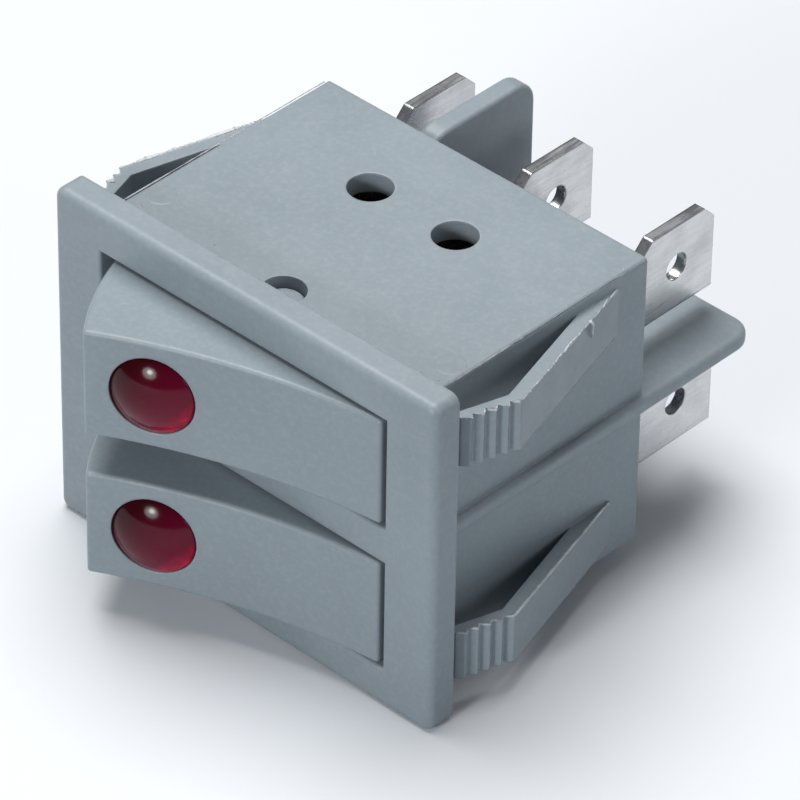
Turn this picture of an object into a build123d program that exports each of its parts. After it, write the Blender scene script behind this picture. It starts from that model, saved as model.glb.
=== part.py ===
from build123d import *
from math import asin, cos, radians, sin, sqrt
import os

# Snap-in double rocker switch for a heater panel, in millimetres.
# -Y is the front, +Y runs back towards the terminals, +X is right and +Z is up.
# The origin is the centre of the bezel's back face, which seats on the panel.
# The upper pole lies at +Z and the lower pole at -Z. Both rockers rest with the lens end out.

# Bezel
BEZEL_LENGTH = 32.0
BEZEL_HEIGHT = 24.85
BEZEL_THICK = 2.05
BEZEL_CORNER = 0.7
BEZEL_EDGE = 0.55
BEZEL_SINK = 0.06

# Body behind the bezel
BODY_LENGTH = 26.9
BODY_HEIGHT = 21.8
BODY_DEPTH = 19.4
BODY_EDGE = 0.3
FLOOR = 2.0

# Openings for the two rockers, which run back as wells
POLE_Z = 5.4
OPENING_LENGTH = 24.0
OPENING_HEIGHT = 8.2
OPENING_EDGE = 0.2

# Holes in the body's upper and lower walls
VENT_D = 3.0
VENT_X = 3.56
VENT_Y = 12.95

# Barriers that keep the terminals apart
FIN_THICK = 1.15
FIN_OUT = 0.6
FIN_BACK = 10.1
FIN_CORNER = 1.6
FIN_EDGE = 0.4
BARRIER_THICK = 1.5
BARRIER_BACK = 9.4
BARRIER_CORNER = 1.7
BARRIER_EDGE = 0.3

# Snap wings, two on each short side
WING_LOW = 6.4
WING_HEIGHT = 3.6
WING_THICK = 1.0
WING_OUT = 3.4
WING_BEND_Y = 4.45
WING_ROOT_Y = 16.9
WING_HEAD_Y = 0.75
WING_SINK = 0.4
HEAD_SLOPE = 0.31
TOOTH_COUNT = 5
TOOTH_PITCH = 0.8
TOOTH_DEEP = 0.5
TOOTH_RISE = 0.45

# Rocker, drawn about its pivot with its face towards the front
PIVOT_Y = 1.65
TILT = 18.0
CAP_RISE = 7.15
FACE_SAG = 1.0
SKIRT_DROP = 1.5
END_GAP = 0.45
END_LEAN = 1.65
END_BULGE = 0.5
SIDE_GAP = 0.2
ROCKER_WALL = 1.05
ROCKER_EDGE = 0.25
EAR_R = 2.5
TRUNNION_D = 2.8
TRUNNION_LENGTH = 0.9
TRUNNION_CHAMFER = 0.25
PIVOT_FIT = 0.06
BOSS_D = 4.6
BOSS_END = 9.0
BOSS_RIB = 1.0
BORE_WEB = 0.8
PLUNGER_FIT = 0.06
LAMP_RIB = 1.0
LAMP_RIB_GAP = 0.8

# Lens, lamp and resistor in the rocker
LENS_INSET = 4.3
LENS_D = 5.6
LENS_FIT = 0.04
LENS_RECESS = 0.3
LENS_DOME = 0.75
LENS_DEEP = 1.3
LENS_SKIN = 0.8
LENS_HOLLOW = 0.9
LAMP_D = 3.8
LAMP_SET = 1.95
LAMP_BASE = 4.0
LAMP_TOP_R = 1.5
LAMP_BASE_R = 0.45
LAMP_FIT = 0.12
LAMP_PIN_PITCH = 1.8
RESISTOR_D = 2.0
RESISTOR_WAIST = 1.8
RESISTOR_END = 1.2
RESISTOR_EDGE = 0.4
RESISTOR_START = 1.1
RESISTOR_INSET = 1.5
RESISTOR_GAP = 0.15
WIRE_D = 0.4
WIRE_BEND = 0.45
WIRE_DROP = 0.9
WIRE_SIDE = 0.3
LEAD_BEND = 1.0
LEAD_DROP = 2.0
LEAD_LENS_INSET = 1.2
LEAD_LOAD_INSET = 0.9

# Sprung plunger in the rocker's boss
PLUNGER_D = 3.0
PLUNGER_TOP = 2.2
TIP_FLAT = 0.1
TIP_CLEAR = 0.1
SPRING_WIRE = 0.4
SPRING_TURNS = 5
SPRING_SIDE = 0.1

# Contact blade, which rocks on the middle terminal
BLADE_THICK = 0.7
BLADE_WIDTH = 5.2
BLADE_LEFT = 7.2
BLADE_CORNER = 1.2
BLADE_TILT = 7.0
BLADE_CLEAR = 0.05
NOTCH_LENGTH = 1.4
NOTCH_DEEP = 0.95
CONTACT_ARM = 7.0
BLADE_PAST = 1.5
CONTACT_D = 2.6
CONTACT_DOME = 4.0
CONTACT_HEAD = 0.6
RIVET_D = 1.2
RIVET_TAIL_D = 1.9
RIVET_TAIL = 0.3
FIXED_HEAD = 0.7
STOP_GAP = 0.3
STOP_LENGTH = 1.2

# Terminals: 6.3 x 0.8 quick-connect tabs
TAB_WIDTH = 6.3
TAB_THICK = 0.8
TAB_PITCH = 10.1
TAB_OUT = 9.9
LOWER_ROW_OUT = 0.5
TAB_HOLE_D = 1.9
TAB_HOLE_BACK = 3.6
TAB_CHAMFER = 1.15
TAB_BEVEL = 0.2
NECK_WIDTH = 5.2
NECK_LENGTH = 2.8
SLOT_FIT = 0.05
FOOT_PAST = 2.15
FOOT_LAMP = 2.6
FOOT_BEND = 0.6
EAR_UP = 1.2
EAR_CLEAR = 0.1
KNIFE_FLAT = 0.2

# Places that follow from the sizes above
POLES = {"upper": (POLE_Z, 0.0), "lower": (-POLE_Z, LOWER_ROW_OUT)}
FLOOR_Y = BODY_DEPTH - FLOOR
FOOT_Y = FLOOR_Y - TAB_THICK
ROCKER_WIDTH = OPENING_HEIGHT - 2 * SIDE_GAP
SKIRT_HALF = OPENING_LENGTH / 2 - END_GAP
CAP_HALF = SKIRT_HALF - END_LEAN
LENS_U = CAP_HALF - LENS_INSET
RESISTOR_LENGTH = CAP_HALF - RESISTOR_INSET - BOSS_D / 2 - RESISTOR_START
RESISTOR_U = CAP_HALF - RESISTOR_INSET - RESISTOR_LENGTH / 2
CAVITY_WIDTH = ROCKER_WIDTH - 2 * ROCKER_WALL
CEILING = CAP_RISE - ROCKER_WALL - FACE_SAG
LAMP_RIB_TOP = CEILING - LAMP_RIB_GAP
BORE_TOP = CEILING - BORE_WEB
LAMP_TOP = CAP_RISE - FACE_SAG - LAMP_SET
FACE_RADIUS = (CAP_HALF**2 + FACE_SAG**2) / (2 * FACE_SAG)
RESISTOR_V = RESISTOR_GAP + RESISTOR_D / 2 - CEILING
BLADE_TURN = radians(BLADE_TILT)
FIXED_TOP = FOOT_Y - FIXED_HEAD
# The blade's rocking edge is set so that the closed contacts just meet.
DOME_REACH = CONTACT_ARM * sin(BLADE_TURN) + (CONTACT_HEAD - CONTACT_DOME) * cos(BLADE_TURN)
SADDLE_Y = FIXED_TOP - DOME_REACH - CONTACT_DOME
FIXED_X = CONTACT_ARM * cos(BLADE_TURN) - (CONTACT_HEAD - CONTACT_DOME) * sin(BLADE_TURN) / 2
FOOT_LOAD = TAB_PITCH - TAB_THICK / 2 - FIXED_X + FOOT_PAST
LEAD_LENS_X = LEAD_LENS_INSET - TAB_PITCH
LEAD_LOAD_X = TAB_PITCH - LEAD_LOAD_INSET
BLADE_RIGHT = CONTACT_ARM + BLADE_PAST
STOP_X = FOOT_LAMP + STOP_GAP + (TAB_THICK + STOP_LENGTH) / 2 - TAB_PITCH
STOP_Y = SADDLE_Y + (STOP_LENGTH / 2 - STOP_X) * sin(BLADE_TURN) / cos(BLADE_TURN) + BLADE_CLEAR
TIP_V = SADDLE_Y - BLADE_CLEAR - BLADE_THICK - TIP_CLEAR - PIVOT_Y


def rocker_plane(height):
    """Plane at a height with its origin on the pivot, x along the rocker and y inwards."""
    turn = radians(TILT)
    return Plane(origin=(0, PIVOT_Y, height), x_dir=(cos(turn), sin(turn), 0), z_dir=(0, 0, 1))


def boss_plane(height, along, inwards):
    """Plane across the rocker's depth, facing inwards, with x up."""
    base = rocker_plane(height)
    spot = base.from_local_coords((along, inwards, 0))
    return Plane(origin=spot, x_dir=(0, 0, 1), z_dir=base.y_dir)


def lens_plane(height):
    """Plane on the rocker's hollow face at the lens, facing out along the lens axis."""
    across = LENS_U / FACE_RADIUS
    rise = sqrt(1 - across**2)
    base = rocker_plane(height)
    drop = CAP_RISE - FACE_SAG + FACE_RADIUS * (1 - rise)
    out = base.x_dir * across - base.y_dir * rise
    return Plane(origin=base.from_local_coords((-LENS_U, -drop, 0)), x_dir=(0, 0, 1), z_dir=out)


def blade_plane(height):
    """Plane on the blade's back face at its rocking edge, facing the front, x along the blade."""
    along = (cos(BLADE_TURN), -sin(BLADE_TURN), 0)
    out = (-sin(BLADE_TURN), -cos(BLADE_TURN), 0)
    return Plane(origin=(0, SADDLE_Y - BLADE_CLEAR, height), x_dir=along, z_dir=out)


def profile_plane(seat):
    """Plane through a seat's normal, with y along the normal, for turned profiles."""
    return Plane(origin=seat.origin, x_dir=seat.x_dir, z_dir=-seat.y_dir)


def cap_outline(inset, bottom):
    """Draw the rocker's side outline in the active line context, moved in by an inset."""
    top = CAP_RISE - inset
    half = CAP_HALF - inset
    foot = SKIRT_HALF - inset
    middle = ((half + foot) / 2 + END_BULGE, (SKIRT_DROP - top) / 2)
    ThreePointArc((-half, -top), (0, FACE_SAG - top), (half, -top))
    ThreePointArc((half, -top), middle, (foot, SKIRT_DROP))
    ThreePointArc((-foot, SKIRT_DROP), (-middle[0], middle[1]), (-half, -top))
    if bottom > SKIRT_DROP:
        Polyline((foot, SKIRT_DROP), (foot, bottom), (-foot, bottom), (-foot, SKIRT_DROP))
    else:
        Line((foot, SKIRT_DROP), (-foot, SKIRT_DROP))


def contact_rivet(seat, grip, head, tail):
    """Domed contact rivet whose head stands on the seat plane and whose shank goes behind it."""
    edge = head - CONTACT_DOME + sqrt(CONTACT_DOME**2 - (CONTACT_D / 2) ** 2)
    half_angle = asin(CONTACT_D / 2 / CONTACT_DOME) / 2
    crown = (CONTACT_DOME * sin(half_angle), head - CONTACT_DOME * (1 - cos(half_angle)))
    head_r = CONTACT_D / 2
    shank_r = RIVET_D / 2
    with BuildPart() as rivet:
        with BuildSketch(profile_plane(seat)):
            with BuildLine():
                Polyline((0, head), (0, -grip), (shank_r, -grip), (shank_r, 0), (head_r, 0), (head_r, edge))
                ThreePointArc((head_r, edge), crown, (0, head))
            make_face()
        revolve(axis=Axis(seat.origin, seat.z_dir))
        if tail:
            with BuildSketch(seat.offset(-grip)):
                Circle(RIVET_TAIL_D / 2)
            extrude(amount=-tail)
    return rivet.part


def round_wire(points, bend):
    """Round wire along straight runs, with each corner cut back by the bend length."""
    spots = [Vector(spot) for spot in points]
    route = [spots[0]]
    for before, corner, after in zip(spots, spots[1:], spots[2:]):
        route.append(corner + (before - corner).normalized() * bend)
        route.append(corner + (after - corner).normalized() * bend)
    route.append(spots[-1])
    with BuildPart() as wire:
        with BuildLine() as centre:
            Polyline(*route)
        path = centre.wire()
        with BuildSketch(Plane(origin=path @ 0, z_dir=path % 0)):
            Circle(WIRE_D / 2)
        sweep(path=path, transition=Transition.RIGHT)
    return wire.part


def terminal(column, height, out, foot):
    """Quick-connect tab whose inner end is a foot along X, or the blade's saddle with foot 0."""
    tip = BODY_DEPTH + TAB_OUT + out
    shoulder = BODY_DEPTH + NECK_LENGTH + out
    inner = FOOT_Y if foot else SADDLE_Y - EAR_UP
    with BuildPart() as tab:
        with BuildSketch(Plane.YZ.offset(column - TAB_THICK / 2)) as outline:
            with Locations(((shoulder + tip) / 2, height)):
                Rectangle(tip - shoulder, TAB_WIDTH)
            chamfer(outline.vertices().group_by(Axis.Y)[-1], TAB_CHAMFER)
            with Locations(((inner + shoulder) / 2, height)):
                Rectangle(shoulder - inner, NECK_WIDTH)
            with Locations((tip - TAB_HOLE_BACK, height)):
                Circle(TAB_HOLE_D / 2, mode=Mode.SUBTRACT)
            if not foot:
                gap = BLADE_WIDTH - 2 * NOTCH_DEEP + 2 * EAR_CLEAR
                with Locations((SADDLE_Y - EAR_UP / 2, height)):
                    Rectangle(EAR_UP, gap, mode=Mode.SUBTRACT)
        extrude(amount=TAB_THICK)
        chamfer(tab.edges().filter_by(Axis.Z).group_by(Axis.Y)[-1], TAB_BEVEL)
        if foot:
            turn = 1 if foot > 0 else -1
            back = column - turn * TAB_THICK / 2
            with BuildSketch(Plane.XY.offset(height - NECK_WIDTH / 2)) as bent:
                with Locations((back + (foot + turn * TAB_THICK) / 2, FOOT_Y + TAB_THICK / 2)):
                    Rectangle(abs(foot) + TAB_THICK, TAB_THICK)
            extrude(amount=NECK_WIDTH)
            front_edges = tab.edges().filter_by(Axis.Z).group_by(Axis.Y)[0].sort_by(Axis.X)
            fillet(front_edges[0 if turn > 0 else -1], FOOT_BEND)
            if foot == -FOOT_LOAD:
                with BuildSketch(Plane.XZ.offset(-FLOOR_Y)):
                    with Locations((FIXED_X, height)):
                        Circle(RIVET_D / 2)
                extrude(amount=TAB_THICK, mode=Mode.SUBTRACT)
        else:
            knife = tab.edges().filter_by(Axis.Z).group_by(Axis.Y)[1]
            chamfer(knife, (TAB_THICK - KNIFE_FLAT) / 2)
    return tab.part


def save(piece, name):
    """Label one finished piece and write it as its own STEP file."""
    piece.label = name
    export_step(piece, f"parts/{name}.step")


os.makedirs("parts", exist_ok=True)

# Outline of one snap wing, with a saw-toothed head beside the bezel
wing_x = BODY_LENGTH / 2
wing_outer = wing_x + WING_OUT
wing_inner = wing_outer - WING_THICK
arm_slope = WING_OUT / (WING_ROOT_Y - WING_BEND_Y)
inner_root_y = WING_BEND_Y + (wing_inner - wing_x) / arm_slope
teeth = []
for tooth in reversed(range(TOOTH_COUNT)):
    tip_x = wing_outer - tooth * TOOTH_PITCH * HEAD_SLOPE
    tip_y = WING_BEND_Y - tooth * TOOTH_PITCH
    teeth.append((tip_x - TOOTH_DEEP, tip_y - TOOTH_RISE))
    teeth.append((tip_x, tip_y))
wing_outline = [
    (wing_x - WING_SINK, WING_ROOT_Y),
    (wing_x - WING_SINK, inner_root_y),
    (wing_x, inner_root_y),
    (wing_inner, WING_BEND_Y),
    (wing_inner - (WING_BEND_Y - WING_HEAD_Y) * HEAD_SLOPE, WING_HEAD_Y),
    *teeth,
    (wing_x, WING_ROOT_Y),
]

# Horizontal fin along both sides and behind the body
with BuildPart() as fin:
    fin_length = BODY_DEPTH + FIN_BACK
    with BuildSketch(Plane.XY) as fin_plan:
        with Locations((0, fin_length / 2)):
            Rectangle(BODY_LENGTH + 2 * FIN_OUT, fin_length)
        fillet(fin_plan.vertices().group_by(Axis.Y)[-1], FIN_CORNER)
    extrude(amount=FIN_THICK / 2, both=True)
    fin_rims = fin.faces().filter_by(Axis.Z).edges()
    fillet(fin_rims - fin_rims.group_by(Axis.Y)[0], FIN_EDGE)

# Upright barrier behind the body, midway between two columns of terminals
with BuildPart() as barrier:
    with BuildSketch(Plane.YZ.offset(-TAB_PITCH / 2)) as barrier_plan:
        with Locations((BODY_DEPTH + BARRIER_BACK / 2 - BODY_EDGE / 2, 0)):
            Rectangle(BARRIER_BACK + BODY_EDGE, BODY_HEIGHT)
        fillet(barrier_plan.vertices().group_by(Axis.Y)[-1], BARRIER_CORNER)
    extrude(amount=BARRIER_THICK / 2, both=True)
    barrier_rims = barrier.faces().filter_by(Axis.X).edges()
    fillet(barrier_rims - barrier_rims.group_by(Axis.Y)[0], BARRIER_EDGE)

# One-piece nylon housing
with BuildPart() as housing:
    with BuildSketch(Plane.XZ.offset(BEZEL_THICK)):
        RectangleRounded(BEZEL_LENGTH, BEZEL_HEIGHT, BEZEL_CORNER)
    extrude(amount=-BEZEL_THICK)
    fillet(housing.faces().sort_by(Axis.Y)[0].edges(), BEZEL_EDGE)
    # Lower edge of the bezel, drawn in at its middle by shrinkage
    foot_x = BEZEL_LENGTH / 2 - BEZEL_CORNER
    foot_z = -BEZEL_HEIGHT / 2
    with BuildSketch(Plane.XZ.offset(BEZEL_THICK)):
        with BuildLine():
            ThreePointArc((-foot_x, foot_z), (0, foot_z + BEZEL_SINK), (foot_x, foot_z))
            below_z = foot_z - BEZEL_EDGE
            Polyline((foot_x, foot_z), (foot_x, below_z), (-foot_x, below_z), (-foot_x, foot_z))
        make_face()
    extrude(amount=-BEZEL_THICK, mode=Mode.SUBTRACT)
    with BuildSketch(Plane.XZ):
        RectangleRounded(BODY_LENGTH, BODY_HEIGHT, BODY_EDGE)
    extrude(amount=-BODY_DEPTH)
    add(fin.part)
    add(barrier.part)
    # Snap wings
    for low in (WING_LOW, -WING_LOW - WING_HEIGHT):
        with BuildSketch(Plane.XY.offset(low)):
            with BuildLine():
                Polyline(*wing_outline, close=True)
            make_face()
            mirror(about=Plane.YZ)
        extrude(amount=WING_HEIGHT)
    # Wells for the rockers
    with BuildSketch(Plane.XZ.offset(BEZEL_THICK)):
        with Locations((0, POLE_Z), (0, -POLE_Z)):
            Rectangle(OPENING_LENGTH, OPENING_HEIGHT)
    extrude(amount=-(BEZEL_THICK + FLOOR_Y), mode=Mode.SUBTRACT)
    rims = housing.faces().sort_by(Axis.Y)[0].inner_wires().edges()
    fillet(rims, OPENING_EDGE)
    # Pivot holes through all three walls
    with BuildSketch(Plane.XY.offset(-BODY_HEIGHT / 2)):
        with Locations((0, PIVOT_Y)):
            Circle(TRUNNION_D / 2 + PIVOT_FIT)
    extrude(amount=BODY_HEIGHT, mode=Mode.SUBTRACT)
    # Round holes in the outer walls only
    wall = BODY_HEIGHT / 2 - POLE_Z - OPENING_HEIGHT / 2
    for low in (-BODY_HEIGHT / 2, BODY_HEIGHT / 2 - wall):
        with BuildSketch(Plane.XY.offset(low)):
            with Locations((-VENT_X, VENT_Y), (VENT_X, VENT_Y)):
                Circle(VENT_D / 2)
        extrude(amount=wall, mode=Mode.SUBTRACT)
    # Terminal slots through the floor
    with BuildSketch(Plane.XZ.offset(-BODY_DEPTH)):
        with GridLocations(TAB_PITCH, 2 * POLE_Z, 3, 2):
            Rectangle(TAB_THICK + 2 * SLOT_FIT, NECK_WIDTH + 2 * SLOT_FIT)
    extrude(amount=FLOOR, mode=Mode.SUBTRACT)
    # Stops under the open end of each contact blade
    with BuildSketch(Plane.XZ.offset(-FLOOR_Y)):
        with Locations((STOP_X, POLE_Z), (STOP_X, -POLE_Z)):
            Rectangle(STOP_LENGTH, OPENING_HEIGHT)
    extrude(amount=FLOOR_Y - STOP_Y)
save(housing.part, "housing")

for pole, (height, row_out) in POLES.items():
    # Hollow rocker with its trunnions, plunger boss and lamp ribs
    with BuildPart() as rocker:
        low = height - ROCKER_WIDTH / 2
        with BuildSketch(rocker_plane(low)):
            with BuildLine():
                cap_outline(0, SKIRT_DROP)
            make_face()
        extrude(amount=ROCKER_WIDTH)
        inwards = Axis((0, PIVOT_Y, height), rocker_plane(height).y_dir)
        skirt = rocker.faces().sort_by(inwards)[-1].edges()
        fillet([edge for edge in rocker.edges() if edge not in skirt], ROCKER_EDGE)
        with BuildSketch(rocker_plane(low)):
            Circle(EAR_R)
        extrude(amount=ROCKER_WIDTH)
        with BuildSketch(rocker_plane(low - TRUNNION_LENGTH)):
            Circle(TRUNNION_D / 2)
        extrude(amount=ROCKER_WIDTH + 2 * TRUNNION_LENGTH)
        trunnion_ends = rocker.edges().filter_by(GeomType.CIRCLE).group_by(Axis.Z)
        chamfer(trunnion_ends[0] + trunnion_ends[-1], TRUNNION_CHAMFER)
        with BuildSketch(rocker_plane(height - CAVITY_WIDTH / 2)):
            with BuildLine():
                cap_outline(ROCKER_WALL, EAR_R + ROCKER_WALL)
            make_face()
        extrude(amount=CAVITY_WIDTH, mode=Mode.SUBTRACT)
        # Boss with its cross rib
        with BuildSketch(boss_plane(height, 0, BOSS_END)):
            Circle(BOSS_D / 2)
        extrude(amount=-(BOSS_END + CEILING + ROCKER_WALL / 2))
        with BuildSketch(boss_plane(height, 0, 0)):
            Rectangle(CAVITY_WIDTH + ROCKER_WALL, BOSS_RIB)
        extrude(amount=-(CEILING + ROCKER_WALL / 2))
        with BuildSketch(boss_plane(height, 0, BOSS_END)):
            Circle(PLUNGER_D / 2 + PLUNGER_FIT)
        extrude(amount=-(BOSS_END + BORE_TOP), mode=Mode.SUBTRACT)
        # Ribs beside the lamp
        rib_inner = LAMP_D / 2 + LAMP_FIT
        rib_depth = (CAVITY_WIDTH + ROCKER_WALL) / 2 - rib_inner
        for start in (height + rib_inner, height - rib_inner - rib_depth):
            with BuildSketch(rocker_plane(start)):
                with Locations((-LENS_U, (SKIRT_DROP - LAMP_RIB_TOP) / 2)):
                    Rectangle(LAMP_RIB, SKIRT_DROP + LAMP_RIB_TOP)
            extrude(amount=rib_depth)
        # Round hole for the lens
        hole_deep = LENS_RECESS + LENS_DEEP + LAMP_FIT
        with BuildSketch(lens_plane(height).offset(-hole_deep)):
            Circle(LENS_D / 2)
        extrude(amount=hole_deep + ROCKER_WALL, mode=Mode.SUBTRACT)
    save(rocker.part, f"rocker_{pole}")

    # Domed red lens, hollow behind
    lens_seat = lens_plane(height)
    lens_r = LENS_D / 2 - LENS_FIT
    dome_r = (lens_r**2 + LENS_DOME**2) / (2 * LENS_DOME)
    half_angle = asin(lens_r / dome_r) / 2
    apex = LENS_DOME - LENS_RECESS
    with BuildPart() as lens:
        with BuildSketch(profile_plane(lens_seat)):
            with BuildLine():
                ThreePointArc(
                    (lens_r, -LENS_RECESS),
                    (dome_r * sin(half_angle), apex - dome_r * (1 - cos(half_angle))),
                    (0, apex),
                )
                Polyline(
                    (0, apex),
                    (0, LENS_HOLLOW - LENS_RECESS - LENS_DEEP),
                    (lens_r - LENS_SKIN, LENS_HOLLOW - LENS_RECESS - LENS_DEEP),
                    (lens_r - LENS_SKIN, -LENS_RECESS - LENS_DEEP),
                    (lens_r, -LENS_RECESS - LENS_DEEP),
                    (lens_r, -LENS_RECESS),
                )
            make_face()
        revolve(axis=Axis(lens_seat.origin, lens_seat.z_dir))
    save(lens.part, f"lens_{pole}")

    # Neon lamp
    with BuildPart() as lamp:
        with BuildSketch(boss_plane(height, -LENS_U, LAMP_BASE)):
            Circle(LAMP_D / 2)
        extrude(amount=-(LAMP_BASE + LAMP_TOP))
        ends = lamp.edges().filter_by(GeomType.CIRCLE).sort_by(inwards)
        fillet(ends[0], LAMP_TOP_R)
        fillet(ends[-1], LAMP_BASE_R)
    save(lamp.part, f"lamp_{pole}")

    # Resistor with beaded ends
    across = Plane(
        origin=rocker_plane(height).from_local_coords((RESISTOR_U - RESISTOR_LENGTH / 2, RESISTOR_V, 0)),
        x_dir=(0, 0, 1),
        z_dir=rocker_plane(height).x_dir,
    )
    with BuildPart() as resistor:
        for start, length, size in (
            (0, RESISTOR_END, RESISTOR_D),
            (RESISTOR_END, RESISTOR_LENGTH - 2 * RESISTOR_END, RESISTOR_WAIST),
            (RESISTOR_LENGTH - RESISTOR_END, RESISTOR_END, RESISTOR_D),
        ):
            with BuildSketch(across.offset(start)):
                Circle(size / 2)
            extrude(amount=length)
        outer = resistor.edges().filter_by(GeomType.CIRCLE).sort_by(Axis(across.origin, across.z_dir))
        chamfer([outer[0], outer[-1]], RESISTOR_EDGE)
    save(resistor.part, f"resistor_{pole}")

    # Wire from the lamp past the boss to the resistor
    level = rocker_plane(height)
    beside = BOSS_D / 2 + WIRE_D / 2 + WIRE_SIDE
    below = LAMP_BASE + WIRE_DROP
    pin = LAMP_PIN_PITCH / 2 - LENS_U
    bridge_points = [
        (RESISTOR_U - RESISTOR_LENGTH / 2, RESISTOR_V, 0),
        (beside, RESISTOR_V, 0),
        (beside, below, 0),
        (beside, below, beside),
        (pin, below, beside),
        (pin, below, 0),
        (pin, LAMP_BASE, 0),
    ]
    bridge = round_wire([level.from_local_coords(spot) for spot in bridge_points], WIRE_BEND)
    save(bridge, f"bridge_wire_{pole}")

    # Flexible leads from the lamp and the resistor to their terminals
    other_pin = -LENS_U - LAMP_PIN_PITCH / 2
    load_u = RESISTOR_U + RESISTOR_LENGTH / 2
    lens_lead = round_wire(
        [
            level.from_local_coords((other_pin, LAMP_BASE, 0)),
            level.from_local_coords((other_pin, LAMP_BASE + LEAD_DROP, 0)),
            Vector(LEAD_LENS_X, (PIVOT_Y + FOOT_Y) / 2, height),
            Vector(LEAD_LENS_X, FOOT_Y, height),
        ],
        LEAD_BEND,
    )
    load_lead = round_wire(
        [
            level.from_local_coords((load_u, RESISTOR_V, 0)),
            level.from_local_coords((load_u + WIRE_BEND + WIRE_D / 2, RESISTOR_V, 0)),
            level.from_local_coords((load_u + WIRE_BEND + WIRE_D / 2, EAR_R, 0)),
            Vector(LEAD_LOAD_X, (PIVOT_Y + FOOT_Y) / 2 + EAR_R, height),
            Vector(LEAD_LOAD_X, FOOT_Y, height),
        ],
        WIRE_BEND,
    )
    save(Compound([lens_lead, load_lead]), f"lead_wires_{pole}")

    # Plunger and the coil spring behind it, of six-sided wire
    with BuildPart() as plunger:
        with BuildSketch(boss_plane(height, 0, PLUNGER_TOP)):
            Circle(PLUNGER_D / 2)
        extrude(amount=TIP_V - PLUNGER_TOP)
        tip = plunger.edges().filter_by(GeomType.CIRCLE).sort_by(inwards)[-1]
        fillet(tip, (PLUNGER_D - TIP_FLAT) / 2)
    save(plunger.part, f"plunger_{pole}")

    coil_r = PLUNGER_D / 2 - SPRING_SIDE - SPRING_WIRE / 2
    coil_start = boss_plane(height, 0, SPRING_WIRE / 2 - BORE_TOP)
    coil_height = PLUNGER_TOP + BORE_TOP - SPRING_WIRE
    with BuildPart() as spring:
        with BuildLine():
            coil = Helix(
                pitch=coil_height / SPRING_TURNS,
                height=coil_height,
                radius=coil_r,
                center=coil_start.origin,
                direction=coil_start.z_dir,
            )
        with BuildSketch(Plane(origin=coil @ 0, z_dir=coil % 0)):
            RegularPolygon(SPRING_WIRE / 2, 6)
        sweep(path=coil, is_frenet=True)
    save(spring.part, f"plunger_spring_{pole}")

    # Contact blade with side notches for the saddle's ears
    blade_seat = blade_plane(height)
    with BuildPart() as blade:
        with BuildSketch(blade_seat) as plan:
            with Locations(((BLADE_RIGHT - BLADE_LEFT) / 2, 0)):
                RectangleRounded(BLADE_LEFT + BLADE_RIGHT, BLADE_WIDTH, BLADE_CORNER)
            with Locations((0, BLADE_WIDTH / 2), (0, -BLADE_WIDTH / 2)):
                Rectangle(NOTCH_LENGTH, 2 * NOTCH_DEEP, mode=Mode.SUBTRACT)
            with Locations((CONTACT_ARM, 0)):
                Circle(RIVET_D / 2, mode=Mode.SUBTRACT)
        extrude(amount=BLADE_THICK)
    save(blade.part, f"contact_blade_{pole}")

    moving_seat = Plane(
        origin=blade_seat.from_local_coords((CONTACT_ARM, 0, 0)),
        x_dir=(0, 0, 1),
        z_dir=-blade_seat.z_dir,
    )
    moving = contact_rivet(moving_seat, BLADE_THICK, CONTACT_HEAD, RIVET_TAIL)
    save(moving, f"moving_contact_{pole}")
    fixed_seat = Plane(origin=(FIXED_X, FOOT_Y, height), x_dir=(0, 0, 1), z_dir=(0, -1, 0))
    fixed = contact_rivet(fixed_seat, TAB_THICK, FIXED_HEAD, 0)
    save(fixed, f"fixed_contact_{pole}")

    # Terminals: lamp on the left, common in the middle, load on the right
    save(terminal(-TAB_PITCH, height, row_out, FOOT_LAMP), f"lamp_terminal_{pole}")
    save(terminal(0, height, row_out, 0), f"common_terminal_{pole}")
    save(terminal(TAB_PITCH, height, row_out, -FOOT_LOAD), f"load_terminal_{pole}")
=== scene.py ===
from math import asin, cos, pi, sin
from random import Random

import bmesh
import bpy
from mathutils import Matrix, Vector


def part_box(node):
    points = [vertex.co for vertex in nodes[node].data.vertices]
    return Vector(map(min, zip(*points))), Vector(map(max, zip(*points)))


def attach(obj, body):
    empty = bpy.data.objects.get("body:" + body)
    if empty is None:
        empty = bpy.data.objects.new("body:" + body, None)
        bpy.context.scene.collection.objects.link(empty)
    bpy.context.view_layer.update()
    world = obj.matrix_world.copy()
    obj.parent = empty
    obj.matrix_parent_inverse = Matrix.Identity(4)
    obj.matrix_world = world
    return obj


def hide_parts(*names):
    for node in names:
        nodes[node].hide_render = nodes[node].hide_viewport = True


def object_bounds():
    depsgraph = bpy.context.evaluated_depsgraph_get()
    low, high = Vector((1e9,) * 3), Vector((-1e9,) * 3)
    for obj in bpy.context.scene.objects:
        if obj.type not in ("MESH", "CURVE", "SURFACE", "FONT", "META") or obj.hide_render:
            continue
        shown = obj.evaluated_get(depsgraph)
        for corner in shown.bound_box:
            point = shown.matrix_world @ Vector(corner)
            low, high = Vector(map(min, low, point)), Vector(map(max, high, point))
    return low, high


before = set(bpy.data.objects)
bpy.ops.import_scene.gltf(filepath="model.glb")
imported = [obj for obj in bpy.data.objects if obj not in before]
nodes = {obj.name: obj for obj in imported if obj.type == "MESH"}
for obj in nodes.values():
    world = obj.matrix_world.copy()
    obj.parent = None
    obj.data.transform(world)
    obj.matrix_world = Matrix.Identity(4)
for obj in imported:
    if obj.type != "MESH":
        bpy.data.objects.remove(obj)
cad_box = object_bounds()
MM = 0.001

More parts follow.
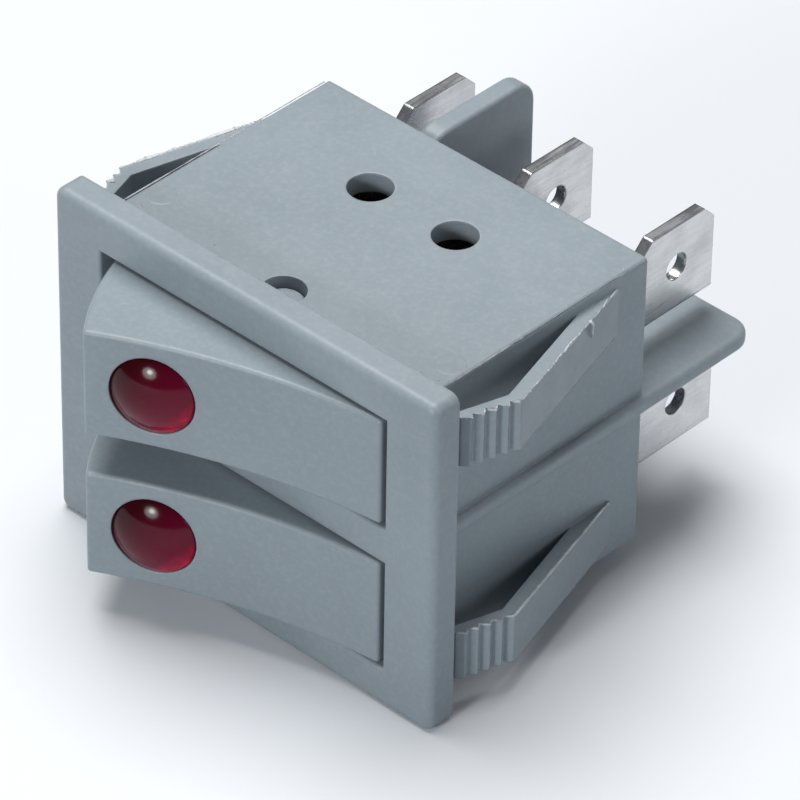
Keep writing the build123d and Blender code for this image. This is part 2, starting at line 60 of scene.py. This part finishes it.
# Camera, fitted to the photograph
CAMERA_PLACE = Vector((221.157, -226.483, 248.249)) * MM
CAMERA_RIGHT = Vector((0.72624047, 0.68731057, 0.01337736))
CAMERA_DOWN = Vector((0.42808038, -0.43692978, -0.79110022))
FOCAL_LENGTH = 297.087
SENSOR_WIDTH = 36.0
CLIP_NEAR = 0.01
CLIP_FAR = 20.0

# Stage and lights, in metres and watts: name, place, aim, size, power, colour
FLOOR_Z = cad_box[0].z
FLOOR_HALF = 3.0
FLOOR_ROUGH = 0.9
PART_AIM = (0, 0.01, 0)
LENS_AIM = (-0.003, -0.006, 0.003)
LIGHTS = (
    ("key", (-0.12, 0.06, 0.46), PART_AIM, (0.40, 0.40), 2.55, (1, 1, 1)),
    ("front", (0.036, -0.334, 0.121), LENS_AIM, (0.15, 0.11), 0.36, (0.95, 0.98, 1.0)),
    ("front_core", (0.038, -0.330, 0.134), LENS_AIM, (0.06, 0.045), 0.22, (1, 1, 1)),
    ("side", (0.50, 0.10, 0.15), PART_AIM, (0.30, 0.30), 0.42, (0.93, 0.97, 1.0)),
)
WORLD_COLOUR = (0.86, 0.90, 0.95, 1)
WORLD_STRENGTH = 0.15

# Colours, linear
NYLON = (0.278, 0.326, 0.358, 1)
# Each pale colour, FLASH_WHITE too, tints faint blotches and the pale edges, which are partly wear
# and partly painted highlight
NYLON_PALE = (0.52, 0.57, 0.61, 1)
NYLON_DARK = (0.250, 0.295, 0.325, 1)
DUST = (0.75, 0.78, 0.80, 1)
FLASH_PALE = (0.86, 0.89, 0.91, 1)
FLASH_WHITE = (0.93, 0.94, 0.95, 1)
FLASH_DULL = (0.55, 0.60, 0.63, 1)
NATURAL = (0.62, 0.60, 0.54, 1)
NATURAL_PALE = (0.80, 0.79, 0.74, 1)
NATURAL_DARK = (0.52, 0.50, 0.45, 1)
LACQUER = (0.58, 0.46, 0.30, 1)
LACQUER_PALE = (0.66, 0.54, 0.38, 1)
LACQUER_DARK = (0.50, 0.38, 0.24, 1)
LENS_DEEP = (0.040, 0.0002, 0.003, 1)
# Painted light in the red lens: a brighter red glow over its lower side and bright red glints by
# its rim
PAINTED_LENS_GLOW = (0.210, 0.0005, 0.030, 1)
PAINTED_LENS_GLINT = (0.90, 0.002, 0.060, 1)
GLASS = (0.95, 0.92, 0.88, 1)
# Slightly brighter glass colour of the painted glints on the lamp glass
GLASS_PAINTED_GLINT = (0.98, 0.95, 0.90, 1)
TIN = (0.62, 0.63, 0.64, 1)
TIN_DULL = (0.46, 0.46, 0.45, 1)
# Painted highlight along the tabs' edges, lighter than the tin itself
TIN_EDGE_HIGHLIGHT = (0.82, 0.83, 0.84, 1)
STEEL = (0.48, 0.47, 0.46, 1)
STEEL_DULL = (0.30, 0.29, 0.28, 1)
COPPER = (0.72, 0.42, 0.26, 1)
COPPER_DULL = (0.45, 0.24, 0.14, 1)
SILVER = (0.86, 0.84, 0.81, 1)
SILVER_DULL = (0.55, 0.52, 0.48, 1)
FLOOR_PALE = (0.80, 0.82, 0.85, 1)
FLOOR_BOUNCE = (0.40, 0.44, 0.48, 1)

# Material constants
NYLON_IOR = 1.5
CLEAR_IOR = 1.49
EDGE_SAMPLES = 6
NYLON_EDGE = 0.22 * MM
WAVE_DEPTH = 0.05 * MM
GRAIN_DEPTH = 0.012 * MM
SCORE_DEPTH = 0.01 * MM
ROLLED = (1, 0.06, 1)
EVEN = (1, 1, 1)

# Noise scales, in features per metre
CLOUD_SCALE = 95
WAVE_SCALE = 130
DUST_AREA_SCALE = 260
TARNISH_SCALE = 380
DUST_SCALE = 420
RIPPLE_SCALE = 420
SHEEN_SCALE = 600
SMEAR_SCALE = 700
LENS_SCALE = 1100
EDGE_PATCH_SCALE = 1500
BLOTCH_SCALE = 2600
GRAIN_SCALE = 5200

# Snap wings and body of the CAD, in millimetres
BODY_HALF = 13.45
BODY_TOP = 10.9
BODY_DEPTH = 19.4
WING_OUTER = 16.85
WING_BEND_Y = 4.45
WING_ROOT_Y = 16.9
WING_TOPS = (10.0, -6.4)
WING_HEIGHT = 3.6
HEAD_SLOPE = 0.31
TOOTH_COUNT = 5
TOOTH_PITCH = 0.8
TOOTH_DEEP = 0.5
TOOTH_RISE = 0.45

# Moulding flash, in millimetres
FLASH_SEED = 11
FLASH_SWING = 0.28
SPIKE_CHANCE = 0.06
SPIKE_RISE = 1.7
FLASH_SINK = 0.07
FLASH_HANG = 0.03
FLASH_SKIN = 0.01
TEETH_FLASH = 0.20
ARM_FLASH = 0.18
UNDER_FLASH = 0.02
UNDER_FLASH_WIDE = 0.09
UNDER_LIFT = 0.02
BODY_FLASH = 0.035
BODY_FLASH_WIDE = 0.10
BODY_FLASH_STEP = 0.2
BODY_FLASH_START = 0.4
FLASH_SHORT = 0.3
ARM_END_GAP = 0.1

# Torn curl, in millimetres: place and radius of each point
CURL = (
    ((14.48, 13.0, 10.04), 0.05),
    ((14.60, 13.05, 10.18), 0.09),
    ((14.66, 13.15, 9.95), 0.10),
    ((14.60, 13.35, 9.7), 0.08),
    ((14.68, 13.0, 9.42), 0.10),
    ((14.62, 13.35, 9.1), 0.07),
    ((14.56, 13.15, 8.85), 0.04),
)

# Ejector marks, in millimetres
MARKS = ((12.2, 3.3), (-12.1, 3.4))
MARK_R = 1.05
MARK_BAND = 0.12
MARK_SINK = 0.02
MARK_RISE = 0.025
MARK_TURNS = [2 * pi * step / 40 for step in range(40)]

# Crumbs, in millimetres
CRUMBS = (
    (12.7, 1.7, 10.92),
    (13.1, 2.1, 10.92),
    (11.4, 1.6, 10.92),
    (-6.2, 2.0, 10.92),
    (-12.2, 1.8, 10.92),
)
CRUMB_SEED = 5
CRUMB_SIZES = (0.09, 0.17)
CRUMB_LUMPS = (0.6, 1.3)
CRUMB_FLAT = 0.55

# Rocker and lens of the CAD, in millimetres
POLES = {"upper": 5.4, "lower": -5.4}
LENS_SEAT = (-3.327, -6.232)
LENS_OUT = Vector((0.41462, -0.90999, 0))
LENS_R = 2.77
LENS_RIM_DROP = 0.05
LENS_DOME = 1.05
LENS_SIDE = 1.3

# Finer lens: its back groove as shares of radius and side, its lengths in millimetres, the
# direction and reach of its painted glow and glints
GROOVE_SHARES = (0.55, 0.72, 0.97)
GROOVE_DEEP_SHARE = 0.45
LENS_BREAK = 0.1
LENS_LIP = 0.05
DOME_STEPS = 12
LENS_TURNS = 64
WELD = 0.001
LENS_GLOW = Vector((0.62, 0.28, -0.73))
PAINTED_GLOW_REACH = 2.2 * MM
PAINTED_GLINT_FROM = 1.5 * MM
PAINTED_GLINT_TO = 2.7 * MM


def add(tree, kind, values=None, **settings):
    """Add a shader node whose inputs are numbers, colours or other nodes' sockets."""
    made = tree.nodes.new(kind)
    for name, value in settings.items():
        setattr(made, name, value)
    for key, value in (values or {}).items():
        if isinstance(value, bpy.types.NodeSocket):
            tree.links.new(value, made.inputs[key])
        else:
            made.inputs[key].default_value = value
    return made


def new_material(name, **values):
    """Material with one principled shader, and its tree, shader and object coordinates."""
    material = bpy.data.materials.new(name)
    material.use_nodes = True
    tree = material.node_tree
    tree.nodes.clear()
    shader = add(tree, "ShaderNodeBsdfPrincipled", values)
    output = add(tree, "ShaderNodeOutputMaterial")
    tree.links.new(shader.outputs["BSDF"], output.inputs["Surface"])
    place = add(tree, "ShaderNodeTexCoord").outputs["Object"]
    return material, tree, shader, place


def noise(tree, place, scale, detail=3.0, rough=0.55):
    """Noise with features of about one over the scale, in metres."""
    values = {"Vector": place, "Scale": scale, "Detail": detail, "Roughness": rough}
    return add(tree, "ShaderNodeTexNoise", values).outputs["Fac"]


def remap(tree, value, low, high, to_low, to_high):
    """Map a range of a value to another, clamped."""
    values = {"From Min": low, "From Max": high, "To Min": to_low, "To Max": to_high}
    return add(tree, "ShaderNodeMapRange", {"Value": value, **values}).outputs["Result"]


def mixed(tree, factor, first, second):
    """Mix two colours."""
    made = add(tree, "ShaderNodeMix", data_type="RGBA")
    for index, value in ((0, factor), (6, first), (7, second)):
        if isinstance(value, bpy.types.NodeSocket):
            tree.links.new(value, made.inputs[index])
        else:
            made.inputs[index].default_value = value
    return made.outputs[2]


def maths(tree, operation, first, second=0.0):
    """One arithmetic node."""
    return add(tree, "ShaderNodeMath", {0: first, 1: second}, operation=operation).outputs[0]


def bump(tree, height, strength, depth, normal=None):
    """Normal of a relief, on top of another normal where one is given."""
    values = {"Height": height, "Strength": strength, "Distance": depth}
    if normal is not None:
        values["Normal"] = normal
    return add(tree, "ShaderNodeBump", values).outputs["Normal"]


def edge_mask(tree, radius, low, high):
    """Rounded normal near sharp edges, and a mask of where it turns from the flat one."""
    rounded = add(tree, "ShaderNodeBevel", {"Radius": radius}, samples=EDGE_SAMPLES)
    round_normal = rounded.outputs["Normal"]
    flat_normal = add(tree, "ShaderNodeNewGeometry").outputs["Normal"]
    normals = {0: round_normal, 1: flat_normal}
    turned = add(tree, "ShaderNodeVectorMath", normals, operation="DOT_PRODUCT")
    return round_normal, remap(tree, turned.outputs["Value"], high, low, 0.0, 1.0)


def plastic(name, base, pale, dark, rough=0.42):
    """Satin moulding with faint mottling, fine grain, a few specks of dust, and soft pale edges,
    partly wear and partly painted highlight.
    """
    material, tree, shader, place = new_material(name, IOR=NYLON_IOR)
    round_normal, edge = edge_mask(tree, NYLON_EDGE, 0.80, 0.995)
    cloudy = remap(tree, noise(tree, place, CLOUD_SCALE, 2), 0.3, 0.7, 0.0, 1.0)
    colour = mixed(tree, cloudy, dark, base)
    blotch = remap(tree, noise(tree, place, BLOTCH_SCALE, 4, 0.6), 0.45, 0.80, 0.0, 0.16)
    colour = mixed(tree, blotch, colour, pale)
    # Pale edges: partly wear, partly a painted highlight along the edges, broken into patches by
    # noise
    patchy_wear_and_highlight = remap(tree, noise(tree, place, EDGE_PATCH_SCALE, 3), 0.35, 0.6, 0.25, 0.8)
    colour = mixed(tree, maths(tree, "MULTIPLY", edge, patchy_wear_and_highlight), colour, pale)
    cells = add(tree, "ShaderNodeTexVoronoi", {"Vector": place, "Scale": DUST_SCALE})
    specks = remap(tree, cells.outputs["Distance"], 0.010, 0.022, 1.0, 0.0)
    chosen = remap(tree, noise(tree, place, DUST_AREA_SCALE, 1), 0.52, 0.56, 0.0, 1.0)
    colour = mixed(tree, maths(tree, "MULTIPLY", specks, chosen), colour, DUST)
    tree.links.new(colour, shader.inputs["Base Color"])
    sheen = remap(tree, noise(tree, place, SHEEN_SCALE, 4), 0.3, 0.7, rough - 0.06, rough + 0.08)
    tree.links.new(sheen, shader.inputs["Roughness"])
    wave = bump(tree, noise(tree, place, WAVE_SCALE, 2), 0.2, WAVE_DEPTH, round_normal)
    grain = bump(tree, noise(tree, place, GRAIN_SCALE, 3), 0.25, GRAIN_DEPTH, wave)
    tree.links.new(grain, shader.inputs["Normal"])
    return material


def metal(name, base, dull, rough=0.30, stretch=ROLLED, edge_reach=0.10, edge_highlight_colour=None):
    """Plated sheet or wire with fine streaks, tarnish clouds, edges rubbed clean of them, and a
    painted highlight colour on the edges where one is given.
    """
    material, tree, shader, place = new_material(name, Metallic=1.0)
    round_normal, edge = edge_mask(tree, edge_reach * MM, 0.70, 0.99)
    drawn = add(tree, "ShaderNodeMapping", {"Vector": place, "Scale": stretch}).outputs["Vector"]
    streaks = noise(tree, drawn, GRAIN_SCALE, 4, 0.6)
    cloudy = noise(tree, place, TARNISH_SCALE, 5, 0.6)
    colour = mixed(tree, remap(tree, cloudy, 0.40, 0.75, 0.0, 0.75), base, dull)
    colour = mixed(tree, remap(tree, streaks, 0.45, 0.80, 0.0, 0.45), colour, dull)
    # Edges rubbed clean of tarnish and streaks, and painted paler by the edge highlight colour
    # where one is given
    colour = mixed(tree, maths(tree, "MULTIPLY", edge, 0.6), colour, edge_highlight_colour or base)
    tree.links.new(colour, shader.inputs["Base Color"])
    marks = maths(tree, "MULTIPLY", streaks, cloudy)
    sheen = remap(tree, marks, 0.15, 0.45, rough - 0.08, rough + 0.16)
    tree.links.new(sheen, shader.inputs["Roughness"])
    scored = bump(tree, streaks, 0.13, SCORE_DEPTH, round_normal)
    tree.links.new(scored, shader.inputs["Normal"])
    return material


def clear(name, deep, low, painted_glint_colour, centre, glow, rough, share, level=0.5):
    """Clear moulding or glass in its own deep colour, with a painted glow towards one side and
    painted glints near the rim on that side.
    """
    material, tree, shader, place = new_material(name, IOR=CLEAR_IOR)
    shader.inputs["Specular IOR Level"].default_value = level
    shader.inputs["Transmission Weight"].default_value = share
    offset = add(tree, "ShaderNodeVectorMath", {0: place, 1: centre}, operation="SUBTRACT")
    along = {0: offset.outputs[0], 1: glow}
    toward = add(tree, "ShaderNodeVectorMath", along, operation="DOT_PRODUCT").outputs["Value"]
    # Painted glow: from the own deep colour to the brighter low colour towards the glow direction
    painted_glow_share = remap(tree, toward, -PAINTED_GLOW_REACH, PAINTED_GLOW_REACH, 0.0, 1.0)
    body = mixed(tree, painted_glow_share, deep, low)
    # Painted glints: bright patches further along the glow direction, broken up by noise
    painted_glint_share = remap(tree, toward, PAINTED_GLINT_FROM, PAINTED_GLINT_TO, 0.0, 1.0)
    uneven = remap(tree, noise(tree, place, LENS_SCALE, 3), 0.38, 0.62, 0.25, 1.0)
    painted_glint_share = maths(tree, "MULTIPLY", painted_glint_share, uneven)
    tree.links.new(mixed(tree, painted_glint_share, body, painted_glint_colour), shader.inputs["Base Color"])
    smear = remap(tree, noise(tree, place, SMEAR_SCALE, 4), 0.35, 0.7, rough, rough + 0.05)
    tree.links.new(smear, shader.inputs["Roughness"])
    ripple = bump(tree, noise(tree, place, RIPPLE_SCALE, 2), 0.12, WAVE_DEPTH)
    tree.links.new(ripple, shader.inputs["Normal"])
    return material


def middle(name):
    """Centre of a CAD node's box."""
    low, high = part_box(name)
    return (Vector(low) + Vector(high)) / 2


def dress(name, material):
    """Give a CAD node its material."""
    slots = nodes[name].data.materials
    slots.clear()
    slots.append(material)


# Materials
housing_nylon = plastic("housing_nylon", NYLON, NYLON_PALE, NYLON_DARK)
rocker_nylon = plastic("rocker_nylon", NYLON, NYLON_PALE, NYLON_DARK, rough=0.38)
plunger_nylon = plastic("plunger_nylon", NATURAL, NATURAL_PALE, NATURAL_DARK)
flash_nylon = plastic("flash_nylon", FLASH_PALE, FLASH_WHITE, FLASH_DULL, rough=0.5)
lacquer = plastic("resistor_lacquer", LACQUER, LACQUER_PALE, LACQUER_DARK, rough=0.3)
tinned = metal("tinned_sheet", TIN, TIN_DULL, edge_reach=0.2, edge_highlight_colour=TIN_EDGE_HIGHLIGHT)
wire_metal = metal("tinned_wire", TIN, TIN_DULL, stretch=EVEN)
spring_steel = metal("spring_wire", STEEL, STEEL_DULL, stretch=EVEN)
copper = metal("contact_copper", COPPER, COPPER_DULL)
silver = metal("contact_silver", SILVER, SILVER_DULL, rough=0.18, stretch=EVEN)
# Lamp glass through the same painted glints: glass more than 1.5 mm above the middle takes patches
# of the slightly brighter glint colour
lamp_glass = clear(
    "lamp_glass", GLASS, GLASS, GLASS_PAINTED_GLINT, Vector(), Vector((0, 0, 1)), rough=0.05, share=1.0
)
red_lens = {}
for pole in POLES:
    centre = middle(f"lens_{pole}")
    red_lens[pole] = clear(
        f"red_lens_{pole}", LENS_DEEP, PAINTED_LENS_GLOW, PAINTED_LENS_GLINT, centre, LENS_GLOW,
        rough=0.10, share=0.15, level=0.16,
    )

POLE_MATERIALS = {
    "rocker": rocker_nylon,
    "lamp": lamp_glass,
    "resistor": lacquer,
    "bridge_wire": wire_metal,
    "lead_wires": wire_metal,
    "plunger": plunger_nylon,
    "plunger_spring": spring_steel,
    "contact_blade": copper,
    "moving_contact": silver,
    "fixed_contact": silver,
    "lamp_terminal": tinned,
    "common_terminal": tinned,
    "load_terminal": tinned,
}
dress("housing", housing_nylon)
for pole in POLES:
    for part, material in POLE_MATERIALS.items():
        dress(f"{part}_{pole}", material)


def make_piece(name, mesh, material, body):
    """Object from mesh data, with its material, slot and body."""
    data = bpy.data.meshes.new(name)
    mesh.to_mesh(data)
    mesh.free()
    data.materials.append(material)
    piece = bpy.data.objects.new(name, data)
    bpy.context.scene.collection.objects.link(piece)
    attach(piece, body)
    return piece


def walk(route, step):
    """Points along a route of straight runs, about a step apart, with the turn points kept."""
    spots = [Vector(route[0])]
    for start, end in zip(route, route[1:]):
        start, end = Vector(start), Vector(end)
        count = max(1, round((end - start).length / step))
        spots += [start.lerp(end, (index + 1) / count) for index in range(count)]
    return spots


def flash(name, route, inward, rise, seed, high, wide=0.16, step=0.13, least=0.25, lean=0.10):
    """Thin ragged ridge of moulding flash along an edge of the housing, inside the CAD's box."""
    random = Random(seed)
    inward, rise = Vector(inward), Vector(rise)
    mesh = bmesh.new()
    rings = []
    swell = 0.5
    for spot in walk(route, step):
        swell = min(1.0, max(least, swell + random.uniform(-FLASH_SWING, FLASH_SWING)))
        spike = SPIKE_RISE if random.random() < SPIKE_CHANCE else 1.0
        top = spot + rise * high * swell * spike - inward * random.uniform(0.0, lean)
        foot = spot - rise * FLASH_SINK - inward * FLASH_HANG * swell
        for corner in (top, foot):
            corner.x = min(WING_OUTER - FLASH_SKIN, max(FLASH_SKIN - WING_OUTER, corner.x))
        ring = (foot, top, spot + inward * wide * swell - rise * FLASH_SKIN)
        rings.append([mesh.verts.new(corner * MM) for corner in ring])
    for first, second in zip(rings, rings[1:]):
        for side in range(3):
            mesh.faces.new((first[side], first[side - 1], second[side - 1], second[side]))
    mesh.faces.new(rings[0])
    mesh.faces.new(reversed(rings[-1]))
    bmesh.ops.recalc_face_normals(mesh, faces=mesh.faces)
    return make_piece(name, mesh, flash_nylon, "housing")


def strand(name, knots):
    """Tapered curl of plastic through a few points, each with its radius."""
    curve = bpy.data.curves.new(name, "CURVE")
    curve.dimensions = "3D"
    curve.bevel_depth = MM
    curve.bevel_resolution = 2
    spline = curve.splines.new("NURBS")
    spline.points.add(len(knots) - 1)
    for made, (point, radius) in zip(spline.points, knots):
        made.co = (*(Vector(point) * MM), 1)
        made.radius = radius
    spline.order_u = 4
    spline.use_endpoint_u = True
    curve.use_fill_caps = True
    curve.materials.append(flash_nylon)
    piece = bpy.data.objects.new(name, curve)
    bpy.context.scene.collection.objects.link(piece)
    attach(piece, "housing")


# Moulding flash along the toothed heads and arms of the snap wings, and the body's top edges
teeth = []
for tooth in reversed(range(TOOTH_COUNT)):
    tip = (WING_OUTER - tooth * TOOTH_PITCH * HEAD_SLOPE, WING_BEND_Y - tooth * TOOTH_PITCH)
    teeth += [(tip[0] - TOOTH_DEEP, tip[1] - TOOTH_RISE), tip]
arm = [(WING_OUTER, WING_BEND_Y), (BODY_HALF + ARM_END_GAP, WING_ROOT_Y - FLASH_SHORT)]
seed = FLASH_SEED
for side, turn in (("right", 1), ("left", -1)):
    for level, top in zip(("upper", "lower"), WING_TOPS):
        for part, route, high in (("teeth", teeth, TEETH_FLASH), ("arm", arm, ARM_FLASH)):
            path = [(turn * x, y, top) for x, y in route]
            flash(f"flash_{part}_{side}_{level}", path, (-turn, 0, 0), (0, 0, 1), seed, high)
            seed += 1
        under = [(turn * x, y, top - WING_HEIGHT + UNDER_LIFT) for x, y in arm]
        flash(
            f"flash_under_{side}_{level}", under, (0, 0, 1), (turn, 0, 0), seed,
            UNDER_FLASH, UNDER_FLASH_WIDE, least=-0.3, lean=0.0,
        )
        seed += 1
    edge = [(turn * BODY_HALF, y, BODY_TOP) for y in (BODY_FLASH_START, BODY_DEPTH - FLASH_SHORT)]
    flash(
        f"flash_body_{side}", edge, (-turn, 0, 0), (0, 0, 1), seed,
        BODY_FLASH, BODY_FLASH_WIDE, BODY_FLASH_STEP, least=-0.8, lean=0.0,
    )
    seed += 1

# Curl of torn plastic near the root of the upper right wing
strand("torn_curl", CURL)

# Faint round marks of the ejector pins on the body's top
marks = bmesh.new()
mark_rings = ((MARK_R, BODY_TOP - MARK_SINK), (MARK_R - MARK_BAND, BODY_TOP + MARK_RISE))
for x, y in MARKS:
    rings = []
    for radius, height in mark_rings:
        spots = [(x + radius * cos(turn), y + radius * sin(turn), height) for turn in MARK_TURNS]
        rings.append([marks.verts.new(Vector(spot) * MM) for spot in spots])
    low, high = rings
    marks.faces.new(high)
    for index in range(len(low)):
        marks.faces.new((low[index - 1], low[index], high[index], high[index - 1]))
make_piece("ejector_marks", marks, housing_nylon, "housing")

# Crumbs of plastic by the bezel
random = Random(CRUMB_SEED)
crumbs = bmesh.new()
for place in CRUMBS:
    made = bmesh.ops.create_icosphere(crumbs, subdivisions=1, radius=0.5)["verts"]
    size = random.uniform(*CRUMB_SIZES)
    for vert in made:
        vert.co *= size * random.uniform(*CRUMB_LUMPS)
        vert.co.z *= CRUMB_FLAT
        vert.co += Vector(place)
        vert.co *= MM
make_piece("crumbs", crumbs, flash_nylon, "housing")

# Domed lenses, each with a ring groove in its back
dome_r = (LENS_R**2 + LENS_DOME**2) / (2 * LENS_DOME)
reach = asin(LENS_R / dome_r)
lens_foot = -LENS_RIM_DROP - LENS_SIDE
groove_in, groove_middle, groove_out = (LENS_R * share for share in GROOVE_SHARES)
profile = [
    (0, lens_foot),
    (groove_in, lens_foot),
    (groove_middle, -LENS_RIM_DROP - LENS_SIDE * GROOVE_DEEP_SHARE),
    (groove_out, lens_foot),
    (LENS_R, lens_foot + LENS_BREAK),
    (LENS_R, -LENS_RIM_DROP - LENS_LIP),
]
for index in range(DOME_STEPS + 1):
    angle = reach * (1 - index / DOME_STEPS)
    profile.append((dome_r * sin(angle), LENS_DOME - LENS_RIM_DROP - dome_r * (1 - cos(angle))))
across = Vector((-LENS_OUT.y, LENS_OUT.x, 0))
for pole, height in POLES.items():
    mesh = bmesh.new()
    seat = Vector((*LENS_SEAT, height))
    spots = [seat + across * radius + LENS_OUT * out for radius, out in profile]
    verts = [mesh.verts.new(spot * MM) for spot in spots]
    edges = [mesh.edges.new(pair) for pair in zip(verts, verts[1:])]
    bmesh.ops.spin(
        mesh, geom=verts + edges, cent=seat * MM, axis=LENS_OUT,
        angle=2 * pi, steps=LENS_TURNS, use_merge=True,
    )
    bmesh.ops.remove_doubles(mesh, verts=mesh.verts, dist=WELD * MM)
    bmesh.ops.recalc_face_normals(mesh, faces=mesh.faces)
    for face in mesh.faces:
        face.smooth = True
    piece = make_piece(f"red_dome_{pole}", mesh, red_lens[pole], f"rocker_{pole}")
    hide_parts(f"lens_{pole}")

# Floor, darker in the light that it throws back than where it is seen
floor_mesh = bpy.data.meshes.new("floor")
quarters = ((-1, -1), (1, -1), (1, 1), (-1, 1))
corners = [(x * FLOOR_HALF, y * FLOOR_HALF, FLOOR_Z) for x, y in quarters]
floor_mesh.from_pydata(corners, [], [(0, 1, 2, 3)])
floor = bpy.data.objects.new("floor", floor_mesh)
bpy.context.scene.collection.objects.link(floor)
floor_material, floor_tree, floor_shader, _ = new_material("floor", Roughness=FLOOR_ROUGH)
rays = add(floor_tree, "ShaderNodeLightPath").outputs
seen = maths(floor_tree, "MAXIMUM", rays["Is Camera Ray"], rays["Is Glossy Ray"])
seen = maths(floor_tree, "MAXIMUM", seen, rays["Is Transmission Ray"])
floor_colour = mixed(floor_tree, seen, FLOOR_BOUNCE, FLOOR_PALE)
floor_tree.links.new(floor_colour, floor_shader.inputs["Base Color"])
floor_mesh.materials.append(floor_material)


def area_light(name, place, aim, size, power, colour):
    """Oval soft light aimed at a point."""
    data = bpy.data.lights.new(name, "AREA")
    data.shape = "ELLIPSE"
    data.size, data.size_y = size
    data.energy = power
    data.color = colour
    lamp = bpy.data.objects.new(name, data)
    bpy.context.scene.collection.objects.link(lamp)
    lamp.location = place
    lamp.rotation_mode = "QUATERNION"
    lamp.rotation_quaternion = (Vector(aim) - Vector(place)).to_track_quat("-Z", "Y")


# Lights and world
for light in LIGHTS:
    area_light(*light)
world = bpy.data.worlds.new("studio")
bpy.context.scene.world = world
world.use_nodes = True
background = world.node_tree.nodes["Background"]
background.inputs["Color"].default_value = WORLD_COLOUR
background.inputs["Strength"].default_value = WORLD_STRENGTH

# Camera
camera_data = bpy.data.cameras.new("camera")
camera_data.sensor_width = SENSOR_WIDTH
camera_data.lens = FOCAL_LENGTH
camera_data.clip_start = CLIP_NEAR
camera_data.clip_end = CLIP_FAR
camera = bpy.data.objects.new("camera", camera_data)
bpy.context.scene.collection.objects.link(camera)
camera_back = CAMERA_RIGHT.cross(-CAMERA_DOWN)
camera_turn = Matrix((CAMERA_RIGHT, -CAMERA_DOWN, camera_back)).transposed().to_4x4()
camera.matrix_world = Matrix.Translation(CAMERA_PLACE) @ camera_turn
bpy.context.scene.camera = camera
bpy.context.scene.view_settings.view_transform = "Standard"

bpy.context.view_layer.update()
